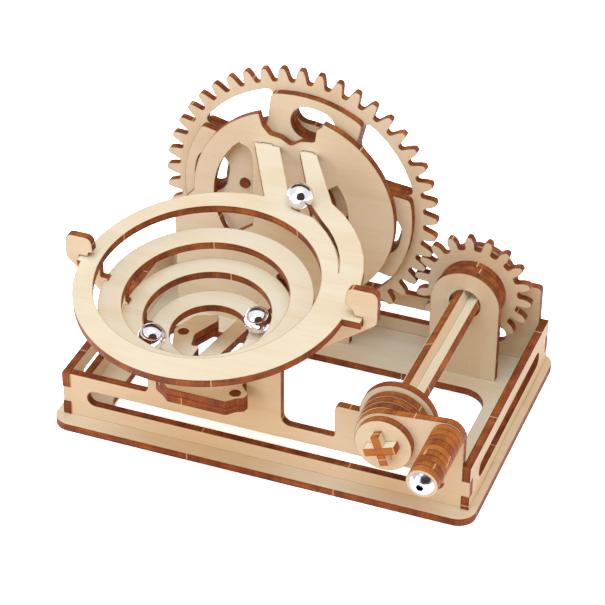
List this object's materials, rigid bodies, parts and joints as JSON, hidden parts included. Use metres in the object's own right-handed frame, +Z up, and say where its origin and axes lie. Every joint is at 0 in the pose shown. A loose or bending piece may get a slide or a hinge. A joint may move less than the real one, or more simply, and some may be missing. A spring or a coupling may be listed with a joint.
{
  "type": "hand cranked marble run",
  "caption": "Hand-cranked wooden marble run: a crank and pinion turn a toothed wheel that lifts steel balls to rails above a stepped bowl of rings, with a chute back to the wheel.",
  "frame": {"origin": "centre of the part's width and depth, on the table plane under the base plate", "axes": "+X to the crank's side, +Y from the bowl back to the wheel, +Z up"},
  "size_m": [0.164, 0.1486, 0.1154],
  "materials": {
    "plywood": "satin",
    "burnt_wood": "satin",
    "ball_steel": "gloss",
    "screw_steel": "gloss"
  },
  "bodies": {
    "frame": {"base_plate": "plywood", "front_panel": "plywood", "back_panel": "plywood", "left_side_panel": "plywood", "right_side_panel": "plywood", "crank_pillar": "plywood", "wheel_cover": "plywood", "top_ring": "plywood", "second_ring": "plywood", "third_ring": "plywood", "low_ring": "plywood", "upper_catch_plate": "plywood", "lower_catch_plate": "plywood", "catch_pegs": "burnt_wood", "chute": "plywood", "wheel_axle": "plywood", "axle_front_disc": "plywood", "axle_back_disc": "plywood"},
    "wheel": {"wheel_front_plate": "plywood", "wheel_gear": "plywood", "wheel_back_plate": "plywood", "wheel_pegs": "burnt_wood"},
    "crank": {"shaft_strip_a": "plywood", "shaft_strip_b": "plywood", "pinion": "plywood", "front_spacer": "plywood", "middle_spacer": "plywood", "rear_spacer": "plywood", "crank_disc_1": "plywood", "crank_disc_2": "plywood", "crank_disc_3": "plywood", "crank_arm": "plywood", "crank_cap": "plywood", "grip_screw": "screw_steel", "grip_nut": "screw_steel"},
    "grip": {"grip_disc_1": "burnt_wood", "grip_disc_2": "burnt_wood", "grip_disc_3": "burnt_wood", "grip_disc_4": "burnt_wood", "grip_disc_5": "burnt_wood", "grip_disc_6": "burnt_wood", "grip_disc_7": "burnt_wood", "grip_disc_8": "burnt_wood", "grip_disc_9": "burnt_wood"},
    "rail_ball": {"ball_on_rails": "ball_steel"},
    "outer_bowl_ball": {"ball_in_second_ring": "ball_steel"},
    "inner_bowl_ball": {"ball_in_third_ring": "ball_steel"}
  },
  "joints": [
    {"name": "wheel_turn", "type": "hinge", "parent": "frame", "child": "wheel", "pos_m": [-0.0185, 0.05971, 0.0605], "axis": [0, 1, 0], "continuous": true},
    {"name": "crank_turn", "type": "hinge", "parent": "frame", "child": "crank", "pos_m": [0.05149, 0.05971, 0.03544], "axis": [0, 1, 0], "continuous": true},
    {"name": "grip_spin", "type": "hinge", "parent": "crank", "child": "grip", "pos_m": [0.07356, -0.03959, 0.04321], "axis": [0, 1, 0], "continuous": true},
    {"name": "rail_ball_roll", "type": "slide", "parent": "frame", "child": "rail_ball", "axis": [-0.4695, 0.8744, 0.1229], "range_m": [0, 0.025]},
    {"name": "outer_ball_circle", "type": "hinge", "parent": "frame", "child": "outer_bowl_ball", "pos_m": [-0.022, -0.02529, 0.0753], "axis": [0, -0.1392, 0.9903], "continuous": true},
    {"name": "inner_ball_circle", "type": "hinge", "parent": "frame", "child": "inner_bowl_ball", "pos_m": [-0.022, -0.02529, 0.0753], "axis": [0, -0.1392, 0.9903], "continuous": true}
  ],
  "couplings": [
    {"joint": "crank_turn", "follows": "wheel_turn", "ratio": -2.5}
  ]
}
